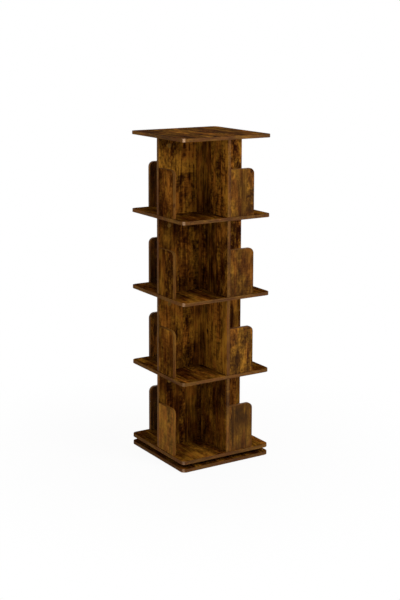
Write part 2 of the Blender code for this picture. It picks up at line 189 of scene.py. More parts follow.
def times(tree, first, *others):
    """A product of sockets and numbers."""
    for other in others:
        first = arithmetic(tree, "MULTIPLY", first, other)
    return first


def remap(tree, value, low, high, to_low=0.0, to_high=1.0):
    """Stretch a range of a value onto another range, smoothly, and hold it there."""
    node = add_node(tree, "ShaderNodeMapRange", "remap", interpolation_type="SMOOTHSTEP", inputs={
        "From Min": low, "From Max": high, "To Min": to_low, "To Max": to_high,
    })
    tree.links.new(value, node.inputs["Value"])
    return node.outputs["Result"]


def scaled(tree, place, scale, label="stretch"):
    """A place multiplied by a scale per axis."""
    node = add_node(tree, "ShaderNodeVectorMath", label, operation="MULTIPLY")
    node.inputs[1].default_value = scale
    wire(tree, (place, node.inputs[0]))
    return node.outputs[0]


def stretched_noise(tree, place, scale, detail=2.0, roughness=0.5):
    """Noise whose scale differs per axis: few features along the grain, many across it."""
    noise = add_node(tree, "ShaderNodeTexNoise", "noise", inputs={
        "Scale": 1.0, "Detail": detail, "Roughness": roughness,
    })
    wire(tree, (scaled(tree, place, scale), noise.inputs["Vector"]))
    return noise.outputs["Fac"]


def colour_ramp(tree, value, stops):
    """Colours along a value, each stop a position and a linear colour."""
    node = tree.nodes.new("ShaderNodeValToRGB")
    ramp = node.color_ramp
    while len(ramp.elements) < len(stops):
        ramp.elements.new(0.5)
    for element, (position, colour) in zip(ramp.elements, stops):
        element.position = position
        element.color = (*colour, 1.0)
    tree.links.new(value, node.inputs["Fac"])
    return node.outputs["Color"]


print("more helpers ready")

# %% [markdown]
# ## Light and floor
#
# The picture is lit as furniture usually is: a white room and large soft lamps. The strongest
# stands high on the right and makes the faces on that side brighter than the ones on the left,
# which get a weak lamp of their own. A third one lights the back, for the other views. The deep
# compartments stay dark by themselves, because little of the room reaches them. The sky is white
# only where it is seen, straight on, in a reflection or through glass, so it doesn't add light.

# %% A white room and three soft lamps
bpy.context.scene.view_settings.view_transform = "Standard"
ROOM_LIGHT = 0.45
ROOM_COLOUR = (1.0, 0.985, 0.965, 1.0)
WHITE = (1.0, 1.0, 1.0, 1.0)


def shows_background(tree):
    """1 for a ray from the camera, off a gloss or through glass, and 0 for one that only lights."""
    ray = tree.nodes.new("ShaderNodeLightPath").outputs
    bounced = arithmetic(tree, "MAXIMUM", ray["Is Glossy Ray"], ray["Is Transmission Ray"])
    return arithmetic(tree, "MAXIMUM", ray["Is Camera Ray"], bounced)


world = bpy.data.worlds.new("white_room")
bpy.context.scene.world = world
world.use_nodes = True
sky = world.node_tree
sky.nodes.clear()
room = add_node(sky, "ShaderNodeBackground", "lights", inputs={
    "Color": ROOM_COLOUR, "Strength": ROOM_LIGHT,
})
backdrop = add_node(sky, "ShaderNodeBackground", "is seen", inputs={"Color": WHITE, "Strength": 1.0})
either = add_node(sky, "ShaderNodeMixShader", "one or the other")
sky_out = add_node(sky, "ShaderNodeOutputWorld", "world")
wire(
    sky,
    (shows_background(sky), either.inputs["Fac"]),
    (room.outputs[0], either.inputs[1]),
    (backdrop.outputs[0], either.inputs[2]),
    (either.outputs[0], sky_out.inputs["Surface"]),
)


def soft_lamp(name, place, aim_height, size, power):
    """A square area lamp that points at a height on the axis of the bookcase."""
    data = bpy.data.lights.new(name, "AREA")
    data.shape = "SQUARE"
    data.size = size
    data.energy = power
    lamp = bpy.data.objects.new(name, data)
    lamp.location = place
    lamp.visible_camera = False
    aim = Vector((0.0, 0.0, aim_height)) - Vector(place)
    lamp.rotation_euler = aim.to_track_quat("-Z", "Y").to_euler()
    bpy.context.scene.collection.objects.link(lamp)


soft_lamp("key_lamp", (1.6, -3.4, 2.9), aim_height=0.8, size=2.0, power=98)
soft_lamp("fill_lamp", (-3.4, -1.6, 1.8), aim_height=0.7, size=2.4, power=17)
soft_lamp("back_lamp", (1.4, 3.6, 2.4), aim_height=0.8, size=2.4, power=45)

# %% [markdown]
# ## The floor
#
# The floor is a plain pale sheet. In the picture it is burnt out to white, so most of what the
# camera sees of it is white light, and near the bookcase the rest is a real surface that takes a
# faint shadow. Further out nothing of the surface is left, so that no horizon line runs behind
# the shelves.

# %% A pale floor that fades into the room
FLOOR_HALF = 14.0
FLOOR_COLOUR = (0.88, 0.88, 0.88, 1.0)
FADE_START, FADE_END = 0.4, 1.4
WHITE_NEAR_BOOKCASE = 0.94

floor_bm = bmesh.new()
bmesh.ops.create_grid(floor_bm, x_segments=1, y_segments=1, size=FLOOR_HALF)
floor_mesh = bpy.data.meshes.new("floor")
floor_bm.to_mesh(floor_mesh)
floor_bm.free()
floor = bpy.data.objects.new("floor", floor_mesh)
bpy.context.scene.collection.objects.link(floor)

pale, floor_tree, surface = new_finish("pale_floor", specular=0.1)
surface.inputs["Base Color"].default_value = FLOOR_COLOUR
surface.inputs["Roughness"].default_value = 0.9
glow = add_node(floor_tree, "ShaderNodeEmission", "white", inputs={"Color": WHITE, "Strength": 1.0})
away = add_node(floor_tree, "ShaderNodeVectorMath", "way from the middle", operation="LENGTH")
wire(floor_tree, (object_place(floor_tree), away.inputs[0]))
fade = remap(floor_tree, away.outputs["Value"], FADE_START, FADE_END, WHITE_NEAR_BOOKCASE, 1.0)
burnt_out = times(floor_tree, fade, shows_background(floor_tree))
floor_mix = add_node(floor_tree, "ShaderNodeMixShader", "surface or white")
wire(
    floor_tree,
    (burnt_out, floor_mix.inputs["Fac"]),
    (surface.outputs[0], floor_mix.inputs[1]),
    (glow.outputs[0], floor_mix.inputs[2]),
    (floor_mix.outputs[0], floor_tree.nodes["Material Output"].inputs["Surface"]),
)
floor_mesh.materials.append(pale)
print("floor fades to white from", FADE_START, "to", FADE_END, "m")

# %% [markdown]
# ## The wood print
#
# The laminate is a printed picture of old sawn planks, pressed onto the board. A painted image
# would show its own seams and repeats, so the print is worked out here from the place of each
# point. It is a node group, because all boards share it. The group takes a place in metres whose
# Z runs along the grain, a tone and a contrast, and gives a colour, a roughness and a height.
#
# First come the planks, about 70 mm wide. They are cells of a Voronoi texture without end along
# the grain, and each gets random numbers, which set its tone and move its grain. The grain sways
# a little to and fro on its way along a plank.

# %% Planks of the wood print
print_group, print_in, print_out = new_group(
    "sawn_wood_print",
    inputs=[
        ("Place", "NodeSocketVector", None),
        ("Tone", "NodeSocketFloat", 0.0),
        ("Contrast", "NodeSocketFloat", 1.0),
    ],
    outputs=[
        ("Colour", "NodeSocketColor"),
        ("Roughness", "NodeSocketFloat"),
        ("Height", "NodeSocketFloat"),
    ],
)
t = print_group


def shifted(place, shift, label):
    node = add_node(t, "ShaderNodeVectorMath", label, operation="ADD")
    wire(t, (place, node.inputs[0]), (shift, node.inputs[1]))
    return node.outputs[0]


PLANK_SCALE = (14.0, 14.0, 0.0)
PLANK_CELLS = {"Scale": 1.0, "Randomness": 0.9}
raw_place = print_in.outputs["Place"]
planks = add_node(t, "ShaderNodeTexVoronoi", "planks", inputs=PLANK_CELLS)
seams = add_node(t, "ShaderNodeTexVoronoi", "seams", feature="DISTANCE_TO_EDGE", inputs=PLANK_CELLS)
plank_place = scaled(t, raw_place, PLANK_SCALE, "plank cells")
plank_pick = add_node(t, "ShaderNodeSeparateColor", "one number per plank")
wire(
    t,
    (plank_place, planks.inputs["Vector"]),
    (plank_place, seams.inputs["Vector"]),
    (planks.outputs["Color"], plank_pick.inputs["Color"]),
)
seam = remap(t, seams.outputs["Distance"], 0.022, 0.008)

sway = add_node(t, "ShaderNodeTexNoise", "sway of the grain", inputs={"Scale": 1.0, "Detail": 1.0})
sway_centre = add_node(t, "ShaderNodeVectorMath", "centred", operation="SUBTRACT")
sway_centre.inputs[1].default_value = (0.5, 0.5, 0.5)
wire(
    t,
    (scaled(t, raw_place, (12.0, 12.0, 4.5), "slow along the grain"), sway.inputs["Vector"]),
    (sway.outputs["Color"], sway_centre.inputs[0]),
)
sway_by = scaled(t, sway_centre.outputs[0], (0.020, 0.020, 0.0), "size of the sway")
swayed = shifted(raw_place, sway_by, "swayed")
jump = scaled(t, planks.outputs["Color"], (1.7, 1.3, 2.1), "jump per plank")
grain_place = shifted(swayed, jump, "grain")
print("planks:", len(t.nodes), "nodes")

# %% [markdown]
# On the planks lie layers of noise, from clouds as wide as a hand down to fibres of a millimetre,
# most of them much longer along the grain than across it. Some planks are calm: their mottling
# is faint, and long soft streaks take its place. Some are rough from the saw: they have blotches
# as wide as they are long, and bars across the grain.

# %% Layers of grain
clouds = stretched_noise(t, swayed, (9.0, 9.0, 6.0), detail=2.0)
patches = stretched_noise(t, grain_place, (24.0, 24.0, 11.0), detail=3.0, roughness=0.6)
mottle = stretched_noise(t, grain_place, (105.0, 105.0, 30.0), detail=3.0, roughness=0.6)
grime = stretched_noise(t, grain_place, (140.0, 140.0, 95.0), detail=3.0, roughness=0.65)
streaks = stretched_noise(t, grain_place, (190.0, 190.0, 9.0), detail=3.0, roughness=0.6)
fibres = stretched_noise(t, grain_place, (700.0, 700.0, 18.0), detail=2.0, roughness=0.6)

calm_plank = remap(t, plank_pick.outputs["Red"], 0.35, 0.60)
long_streaks = stretched_noise(t, grain_place, (100.0, 100.0, 3.5), detail=3.0, roughness=0.55)

rough_plank = remap(t, plank_pick.outputs["Blue"], 0.45, 0.60)
blotches = stretched_noise(t, grain_place, (62.0, 62.0, 52.0), detail=3.0, roughness=0.6)
saw_bars = stretched_noise(t, grain_place, (20.0, 20.0, 160.0), detail=2.0, roughness=0.55)
print("with the layers:", len(t.nodes), "nodes")

# %% [markdown]
# Last come the marks. Knots are small and sparse, with a paler ring of wood round each: a cell
# becomes a knot only where its random number is high, and mottling roughens its outline. Saw
# marks run across the grain, fine cracks and short dark pores along it.

# %% Knots, saw marks, cracks and pores
KNOT_SCALE = (17.0, 17.0, 9.0)
knots = add_node(t, "ShaderNodeTexVoronoi", "knots", inputs={"Scale": 1.0, "Randomness": 1.0})
knot_pick = add_node(t, "ShaderNodeSeparateColor", "one number per knot")
wire(
    t,
    (scaled(t, grain_place, KNOT_SCALE, "knot cells"), knots.inputs["Vector"]),
    (knots.outputs["Color"], knot_pick.inputs["Color"]),
)
chosen = remap(t, knot_pick.outputs["Red"], 0.70, 0.74)
uneven = times(t, mottle, 0.30)
knot_reach = arithmetic(t, "ADD", knots.outputs["Distance"], uneven)
knot_core = times(t, remap(t, knot_reach, 0.28, 0.20), chosen)
knot_halo = times(t, remap(t, knot_reach, 0.60, 0.30), chosen)

saw_lines = stretched_noise(t, raw_place, (14.0, 14.0, 300.0), detail=1.0)
saw_where = remap(t, stretched_noise(t, raw_place, (10.0, 10.0, 8.0)), 0.52, 0.62)
saw_marks = times(t, remap(t, saw_lines, 0.58, 0.67), saw_where)
cracks = remap(t, stretched_noise(t, grain_place, (260.0, 260.0, 6.0), detail=1.0), 0.66, 0.74)
pores = remap(t, stretched_noise(t, grain_place, (1100.0, 1100.0, 55.0), detail=1.0), 0.60, 0.68)
print("with the marks:", len(t.nodes), "nodes")

# %% [markdown]
# All of it adds up to one number, the lightness. Each layer has a weight, and half of it is taken
# off again, so that the sum swings about the middle tone. Two ramps turn the lightness into a
# chocolate or an amber brown, dark and dull at the low end and warmer further up, and a wide
# noise chooses between the two.

# %% Lightness, colour, roughness and height
MIDDLE = 0.47
EVERYWHERE = (
    (clouds, 0.90), (plank_pick.outputs["Green"], 0.22), (patches, 1.45), (mottle, 0.95),
    (grime, 0.95), (streaks, 0.50), (fibres, 0.25),
)
ON_CALM_PLANKS = ((mottle, -0.71), (grime, -0.71), (long_streaks, 1.12))
ON_ROUGH_PLANKS = ((blotches, 1.10), (saw_bars, 0.50))
MARKS = (
    (knot_halo, 0.08), (knot_core, -0.60), (saw_marks, -0.18), (cracks, -0.20),
    (pores, -0.16), (seam, -0.08),
)


def add_layers(total, layers):
    """Add layers to a sum, each with its weight."""
    for layer, weight in layers:
        total = arithmetic(t, "ADD", total, times(t, layer, weight))
    return total


def centred_sum(layers):
    """Add up layers of noise so that the sum varies about 0."""
    return add_layers(-sum(weight for layer, weight in layers) / 2, layers)


variation = centred_sum(EVERYWHERE)
for plank, layers in ((calm_plank, ON_CALM_PLANKS), (rough_plank, ON_ROUGH_PLANKS)):
    extra = times(t, plank, centred_sum(layers))
    variation = arithmetic(t, "ADD", variation, extra)
variation = add_layers(variation, MARKS)
variation = times(t, variation, print_in.outputs["Contrast"])
tone = arithmetic(t, "ADD", print_in.outputs["Tone"], MIDDLE)
lightness = arithmetic(t, "MAXIMUM", arithmetic(t, "ADD", tone, variation), 0.0)

chocolate = colour_ramp(t, lightness, [
    (0.00, (0.018, 0.0031, 0.0004)),
    (0.25, (0.056, 0.0134, 0.0014)),
    (0.47, (0.113, 0.0355, 0.0040)),
    (0.68, (0.197, 0.0665, 0.0075)),
    (1.00, (0.360, 0.1270, 0.0150)),
])
amber = colour_ramp(t, lightness, [
    (0.00, (0.018, 0.0040, 0.0005)),
    (0.25, (0.056, 0.0174, 0.0017)),
    (0.47, (0.117, 0.0472, 0.0048)),
    (0.68, (0.218, 0.0905, 0.0090)),
    (1.00, (0.395, 0.1680, 0.0170)),
])
hue_noise = stretched_noise(t, grain_place, (20.0, 20.0, 9.0), detail=3.0)
mixed = add_node(t, "ShaderNodeMix", "chocolate or amber", data_type="RGBA")
wire(
    t,
    (remap(t, hue_noise, 0.40, 0.58), mixed.inputs["Factor"]),
    (chocolate, mixed.inputs["A"]),
    (amber, mixed.inputs["B"]),
)
roughness = remap(t, lightness, 0.0, 1.0, 0.66, 0.52)
height = arithmetic(t, "SUBTRACT", fibres, arithmetic(t, "MAXIMUM", cracks, pores))
wire(
    t,
    (mixed.outputs["Result"], print_out.inputs["Colour"]),
    (roughness, print_out.inputs["Roughness"]),
    (height, print_out.inputs["Height"]),
)
print("whole print:", len(t.nodes), "nodes")

# %% [markdown]
# ## Laminates
#
# The same print serves every board, turned so that the grain runs the way it does on the real
# piece: upright on walls and stops, from front to back on the shelves, and along the edge on the
# bands. Laminate of this kind is matt. Even a weak gloss catches the white room where a face is
# seen at a slant, so the shelves have none and the others next to none. The pores are pressed a
# little into the surface, which is the work of the Bump node.

# %% A board finish from the print
PORE_DEPTH = 0.0004


def laminate(
    name, grain, tone=0.0, contrast=1.0, specular=0.01, bump=0.12, gloss=1.0, sheet=(0, 0, 0),
):
    """A board finish, cut from some place of the printed sheet, with the grain in some direction."""
    material, tree, shader = new_finish(name, specular)
    x, y, z = axes_of(tree, object_place(tree))
    if grain == "upright":
        turned_place = (x, y, z)
    elif grain == "front_to_back":
        turned_place = (x, times(tree, z, 3.0), y)
    elif grain == "round_the_shelf":
        turned_place = (
            times(tree, z, 1.7),
            times(tree, z, 0.9),
            arithmetic(tree, "SUBTRACT", x, y),
        )
    else:
        along, across = (x, y) if grain == "round_a_panel_along_x" else (y, x)
        turned_place = (
            across,
            times(tree, across, 0.6),
            arithmetic(tree, "SUBTRACT", z, along),
        )
    with_the_grain = add_node(tree, "ShaderNodeCombineXYZ", "Z along the grain")
    moved = add_node(tree, "ShaderNodeVectorMath", "place on the printed sheet", operation="ADD")
    moved.inputs[1].default_value = sheet
    wood = add_node(tree, "ShaderNodeGroup", "print", node_tree=print_group, inputs={
        "Tone": tone, "Contrast": contrast,
    })
    relief = add_node(tree, "ShaderNodeBump", "pressed pores", inputs={
        "Strength": bump, "Distance": PORE_DEPTH,
    })
    wire(
        tree,
        *zip(turned_place, with_the_grain.inputs),
        (with_the_grain.outputs[0], moved.inputs[0]),
        (moved.outputs[0], wood.inputs["Place"]),
        (wood.outputs["Colour"], shader.inputs["Base Color"]),
        (times(tree, wood.outputs["Roughness"], gloss), shader.inputs["Roughness"]),
        (wood.outputs["Height"], relief.inputs["Height"]),
        (relief.outputs[0], shader.inputs["Normal"]),
    )
    return material


print("sockets of the print:", print_group.interface.items_tree.keys())

# %% [markdown]
# A colour is laid over many of these prints. On some stops and on the top board it is a pale
# painted sheen that lifts the darkest grain. On the bands it is pale plastic and painted sheen,
# with a painted highlight on one corner and painted shade on the others. All of these are one
# effect, a film with a colour and an amount, so it is a node group.

# %% A film over the print
# pale film of the bands: partly the paler plastic, partly painted sheen
PALE_PLASTIC_AND_SHEEN = (0.47, 0.31, 0.185)
# painted highlight: a pale colour laid on the round front-left corner of the shelf bands, where lamps
# glint
PAINTED_HIGHLIGHT = (0.72, 0.45, 0.27)
# painted sheen on the stops: a pale film that lifts their darkest grain
STOP_SHEEN_PAINT = (0.40, 0.30, 0.14)
# painted sheen on the top board
TOP_SHEEN_PAINT = (0.40, 0.36, 0.30)
# painted shade: a dark colour laid on the round corners of the shelf bands other than the front-left
# one
PAINTED_CORNER_SHADE = (0.020, 0.012, 0.005)
film_group, film_in, film_out = new_group(
    "film_over_the_print",
    inputs=[
        ("Print", "NodeSocketColor", None),
        ("Film", "NodeSocketColor", None),
        ("Amount", "NodeSocketFloat", 0.0),
    ],
    outputs=[("Colour", "NodeSocketColor")],
)
covered = add_node(film_group, "ShaderNodeMix", "film over the print", data_type="RGBA")
wire(
    film_group,
    (film_in.outputs["Print"], covered.inputs["A"]),
    (film_in.outputs["Film"], covered.inputs["B"]),
    (film_in.outputs["Amount"], covered.inputs["Factor"]),
    (covered.outputs["Result"], film_out.inputs["Colour"]),
)


def film(material, amount, colour):
    """Lay a film over the print of a finish, by a number or a mask."""
    tree = material.node_tree
    base = tree.nodes["Principled BSDF"].inputs["Base Color"]
    printed = base.links[0].from_socket
    over = add_node(tree, "ShaderNodeGroup", "film", node_tree=film_group, inputs={
        "Film": (*colour, 1.0),
    })
    if isinstance(amount, float):
        over.inputs["Amount"].default_value = amount
    else:
        wire(tree, (amount, over.inputs["Amount"]))
    wire(tree, (printed, over.inputs["Print"]), (over.outputs["Colour"], base))


print("film:", film_group.name)

# %% [markdown]
# The edge band is a plastic strip with a plainer and milkier print that runs round the board, and
# its grain follows the edge round the corner. Its milkiness is partly painted sheen. A painted
# highlight lies in patches on the round corner at the front left, and painted shade on the others.

# %% Edge bands
def edge_band(name, grain, tone, specular, sheet=(0, 0, 0), pale_film_and_sheen=0.07):
    """The plastic strip round a board: plainer print, pale film partly of painted sheen, a bit more
    gloss.
    """
    band = laminate(
        name, grain, tone, contrast=0.55, specular=specular, bump=0.04, gloss=0.7, sheet=sheet,
    )
    # The pale film is partly the paler plastic of the band and partly painted sheen.
    film(band, pale_film_and_sheen, PALE_PLASTIC_AND_SHEEN)
    return band


def paint_corner_highlight_and_shade(material, highlight_strength, shade_strength):
    """Where the band bends round a corner: a painted highlight at the front left, painted shade
    elsewhere.
    """
    tree = material.node_tree
    place = object_place(tree)
    x, y = axes_of(tree, place)[:2]
    x_and_y = arithmetic(tree, "ADD", x, y)
    front_left = remap(tree, x_and_y, -0.40, -0.20, 1.0, 0.0)
    others = remap(tree, x_and_y, -0.40, -0.20)
    from_middle = [arithmetic(tree, "ABSOLUTE", axis, 0.0) for axis in (x, y)]
    straight = HALF_WIDTH - CORNER_RADIUS
    nearer = arithmetic(tree, "MINIMUM", *from_middle)
    bend = remap(tree, nearer, straight + 0.008, straight + 0.0145)
    highlight_noise = stretched_noise(tree, place, (2.6, 2.6, 3.4), detail=1.0)
    highlight_patches = remap(tree, highlight_noise, 0.40, 0.62, 0.15, 1.0)
    grains = stretched_noise(tree, place, (220.0, 220.0, 260.0), detail=2.0)
    specks = remap(tree, grains, 0.30, 0.60, 0.4, 1.0)
    patchy = times(tree, highlight_patches, specks)
    for corner, cover, strength, colour in (
        (front_left, patchy, highlight_strength, PAINTED_HIGHLIGHT),
        (others, specks, shade_strength, PAINTED_CORNER_SHADE),
    ):
        film(material, times(tree, bend, corner, cover, strength), colour)


BAND_GLOSS = 0.02
SHELF_BAND = edge_band("shelf_edge_band", "round_the_shelf", 0.00, 0.002)
# The shelf bands get a painted highlight on the front-left corner and painted shade on the other
# three.
paint_corner_highlight_and_shade(SHELF_BAND, 1.0, 0.45)
STOP_BANDS = {
    "front_back": edge_band("front_back_stop_band", "round_a_panel_along_x", 0.03, BAND_GLOSS),
    "left_right": edge_band(
        "left_right_stop_band", "round_a_panel_along_y", 0.05, 0.004, pale_film_and_sheen=0.04,
    ),
}
print("bands:", [m.name for m in bpy.data.materials if "band" in m.name])

# %% [markdown]
# Walls stand above each other, and a print that is stretched along the grain would run on from
# one to the next. So in each tier the boards are cut from places of their own on the sheet: one
# for the walls that start at the front and back edge, one for those of the left and right, and
# the same for stops. The places are drawn at random, always the same ones, and each board names
# one by its number. Tone and contrast beside it make the board lighter or bolder, as no two
# sheets are alike.

# %% Where each board is cut from the sheet
draw = random.Random(23)
SHEET_PLACES = [
    tuple(round(draw.uniform(-9.0, 9.0), 2) for axis in "xyz") for number in range(240)
]
PAIRS = ("front_back", "left_right")
# A row is a tier, from the lowest up: number of its place, tone, contrast, and tone of its band.
WALL_PRINTS = {
    "front_back": (
        (54, 0.00, 0.95, -0.02),
        (64, 0.17, 1.30, -0.07),
        (164, -0.03, 1.35, 0.00),
        (93, 0.24, 1.50, -0.02),
    ),
    "left_right": (
        (189, -0.06, 1.10, 0.04),
        (64, 0.10, 1.25, -0.05),
        (38, -0.06, 1.20, -0.05),
        (174, 0.25, 1.60, -0.02),
    ),
}
# The last number of these is how much pale film of painted sheen lies over the stop.
STOP_PRINTS = {
    "front_back": (
        (58, -0.10, 0.95, 0.042),
        (158, 0.07, 1.20, 0.026),
        (6, -0.12, 0.80, 0.026),
        (232, -0.06, 0.85, 0.026),
    ),
    "left_right": (
        (31, 0.33, 0.75, 0.050),
        (59, 0.00, 0.90, 0.000),
        (231, -0.18, 1.00, 0.000),
        (142, -0.10, 1.25, 0.000),
    ),
}
print("places on the sheet:", len(SHEET_PLACES))

# %% [markdown]
# Each row of the tables becomes a laminate, and a wall gets a band cut from the same place. All
# shelves share one laminate, and the top board has its own, with a pale film of painted sheen.

# %% The laminates of each tier and of the shelves
WALL_GLOSS = 0.015
STOP_GLOSS = {"front_back": 0.012, "left_right": 0.003}
WALL_LAMINATES, WALL_BANDS, STOP_LAMINATES = {}, {}, {}
for pair in PAIRS:
    for tier in range(1, 5):
        number, tone, contrast, band_tone = WALL_PRINTS[pair][tier - 1]
        sheet = SHEET_PLACES[number]
        name = f"tier{tier}_{pair}_wall_"
        WALL_LAMINATES[pair, tier] = laminate(
            name + "laminate", "upright", tone, contrast, WALL_GLOSS, sheet=sheet,
        )
        WALL_BANDS[pair, tier] = edge_band(
            name + "band", "upright", band_tone, BAND_GLOSS, sheet, pale_film_and_sheen=0.055,
        )
        number, tone, contrast, pale_film_and_sheen = STOP_PRINTS[pair][tier - 1]
        stop_laminate = laminate(
            f"tier{tier}_{pair}_stop_laminate", "upright", tone, contrast, STOP_GLOSS[pair],
            sheet=SHEET_PLACES[number],
        )
        # painted sheen: a pale film over the stop print, on every front and back stop, left and right
        # only lowest
        film(stop_laminate, pale_film_and_sheen, STOP_SHEEN_PAINT)
        STOP_LAMINATES[pair, tier] = stop_laminate
SHELF_LAMINATE = laminate(
    "shelf_laminate", "front_to_back", -0.03, specular=0.0, sheet=SHEET_PLACES[125],
)
TOP_LAMINATE = laminate(
    "top_laminate", "front_to_back", -0.04, specular=0.0, sheet=SHEET_PLACES[62],
)
# painted sheen: a pale film over the print of the top board
film(TOP_LAMINATE, 0.024, TOP_SHEEN_PAINT)
print("laminates:", [m.name for m in bpy.data.materials if "laminate" in m.name])

# %% [markdown]
# ## Bare board, metal, plastic and felt
#
# None of these is one even colour. Each is a fine speckle between a dark and a light colour, and
# is a little rougher where it is dark, so the speckle is a node group.

# %% A speckle
ROUGHNESS_SPREAD = 0.06
speckle_group, speckle_in, speckle_out = new_group(
    "fine_speckle",
    inputs=[
        ("Place", "NodeSocketVector", None),
        ("Dark", "NodeSocketColor", None),
        ("Light", "NodeSocketColor", None),
        ("Middle Roughness", "NodeSocketFloat", 0.5),
    ],
    outputs=[
        ("Colour", "NodeSocketColor"),
        ("Roughness", "NodeSocketFloat"),
        ("Height", "NodeSocketFloat"),
    ],
)
speckles = add_node(speckle_group, "ShaderNodeTexNoise", "speckles", inputs={
    "Scale": 1.0, "Detail": 3.0, "Roughness": 0.6,
})
blend = add_node(speckle_group, "ShaderNodeMix", "dark to light", data_type="RGBA")
spread = remap(speckle_group, speckles.outputs["Fac"], 0.2, 0.8, ROUGHNESS_SPREAD, -ROUGHNESS_SPREAD)
rough = arithmetic(speckle_group, "ADD", speckle_in.outputs["Middle Roughness"], spread)
wire(
    speckle_group,
    (speckle_in.outputs["Place"], speckles.inputs["Vector"]),
    (remap(speckle_group, speckles.outputs["Fac"], 0.30, 0.70), blend.inputs["Factor"]),
    (speckle_in.outputs["Dark"], blend.inputs["A"]),
    (speckle_in.outputs["Light"], blend.inputs["B"]),
    (blend.outputs["Result"], speckle_out.inputs["Colour"]),
    (rough, speckle_out.inputs["Roughness"]),
    (speckles.outputs["Fac"], speckle_out.inputs["Height"]),
)
print("speckle:", len(speckle_group.nodes), "nodes")

# %% [markdown]
# A finish sets how fine the speckle is, its colours, how rough it is, and how much it stands out.
# Inside the screw holes the board is bare: pressed chips, pale and speckled. The race plates are
# pressed from zinc-plated sheet, which shows faint cloudy crystals. Pins, screws and balls are
# bright steel. The cage, the bush and the cam caps are moulded plastic with a fine grain, and the
# pads under the base are pressed grey felt, whose fibres make it rough and a little uneven.

# %% The speckled finishes
SPECKLE_HEIGHT = 0.0002


def speckled(
    name, dark, light, scale, roughness, metallic=0.0, bump=0.0, specular=0.5, stretch=(1, 1, 1),
):
    """A finish with the speckle, so many per metre, and stretched along an axis if wished."""
    material, tree, shader = new_finish(name, specular, metallic)
    size = [scale * s for s in stretch]
    spots = add_node(tree, "ShaderNodeGroup", "speckle", node_tree=speckle_group, inputs={
        "Dark": (*dark, 1.0), "Light": (*light, 1.0), "Middle Roughness": roughness,
    })
    relief = add_node(tree, "ShaderNodeBump", "relief", inputs={
        "Strength": bump, "Distance": SPECKLE_HEIGHT,
    })
    wire(
        tree,
        (scaled(tree, object_place(tree), size), spots.inputs["Place"]),
        (spots.outputs["Colour"], shader.inputs["Base Color"]),
        (spots.outputs["Roughness"], shader.inputs["Roughness"]),
        (spots.outputs["Height"], relief.inputs["Height"]),
        (relief.outputs[0], shader.inputs["Normal"]),
    )
    return material


CHIPS = speckled("pressed_chips", (0.25, 0.15, 0.075), (0.52, 0.36, 0.20), 900.0, 0.85, bump=0.5)
ZINC = speckled(
    "zinc_plated_sheet", (0.46, 0.47, 0.48), (0.68, 0.68, 0.67), 160.0, 0.38, metallic=1.0, bump=0.05,
)
STEEL = speckled(
    "bright_steel", (0.58, 0.57, 0.55), (0.70, 0.69, 0.67), 700.0, 0.26, metallic=1.0, bump=0.03,
)
NYLON = speckled(
    "black_nylon", (0.018, 0.018, 0.019), (0.032, 0.032, 0.034), 1200.0, 0.48, bump=0.12,
)
CAP_PLASTIC = speckled(
    "cap_plastic", (0.16, 0.076, 0.012), (0.24, 0.124, 0.020), 260.0, 0.55, bump=0.08, specular=0.08,
)
FELT = speckled(
    "pressed_felt", (0.060, 0.060, 0.062), (0.170, 0.168, 0.165), 1500.0, 0.95, bump=0.9,
)
BEECH = speckled(
    "beech_dowel", (0.42, 0.25, 0.12), (0.62, 0.42, 0.24), 240.0, 0.7, bump=0.2, stretch=(1, 1, 0.08),
)
print("finishes:", len(bpy.data.materials))

# %% [markdown]
# ## Making and placing pieces
#
# Every piece starts as a bmesh, gets its finish per face, and then rides on the CAD body that
# carries it. A piece that is made in place of a CAD node says so, and the node is hidden. The
# shading of a board comes from weighted normals: the wide flat faces stay flat, and all of the
# turn of the surface happens in the narrow rounding of the edge, where the light then glints.

# %% From a bmesh to a piece
def new_piece(name, bm, finishes, body, stands_for=(), crease=50):
    """Turn a bmesh into a named object that rides on a body."""
    bmesh.ops.recalc_face_normals(bm, faces=bm.faces)
    mesh = bpy.data.meshes.new(name)
    bm.to_mesh(mesh)
    bm.free()
    for finish in finishes:
        mesh.materials.append(finish)
    mesh.shade_smooth()
    mesh.set_sharp_from_angle(angle=math.radians(crease))
    piece = bpy.data.objects.new(name, mesh)
    bpy.context.scene.collection.objects.link(piece)
    even = piece.modifiers.new("even shading", "WEIGHTED_NORMAL")
    even.keep_sharp = True
    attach(piece, body)
    if stands_for:
        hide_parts(*stands_for)
    return piece


# %% [markdown]
# Boards start as blocks, whose edges are picked by direction and bevelled. Round things start as
# a profile that is spun.

# %% Blocks and turned shapes
def block(low, high):
    bm = bmesh.new()
    bmesh.ops.create_cube(bm, size=1.0)
    bmesh.ops.scale(bm, vec=Vector(high) - Vector(low), verts=bm.verts)
    bmesh.ops.translate(bm, vec=(Vector(low) + Vector(high)) / 2, verts=bm.verts)
    return bm


def bevel(bm, edges, offset, segments):
    bmesh.ops.bevel(
        bm, geom=edges, offset=offset, segments=segments, profile=0.5, affect="EDGES", material=-1,
    )


def edges_along(bm, axis):
    """The edges that run along X, Y or Z (0, 1 or 2)."""
    return [e for e in bm.edges if abs((e.verts[1].co - e.verts[0].co).normalized()[axis]) > 0.99]


def rims(bm, axis):
    """The edges round the flat faces that look along an axis."""
    found = set()
    for face in bm.faces:
        if abs(face.normal[axis]) > 0.999:
            found.update(face.edges)
    return list(found)


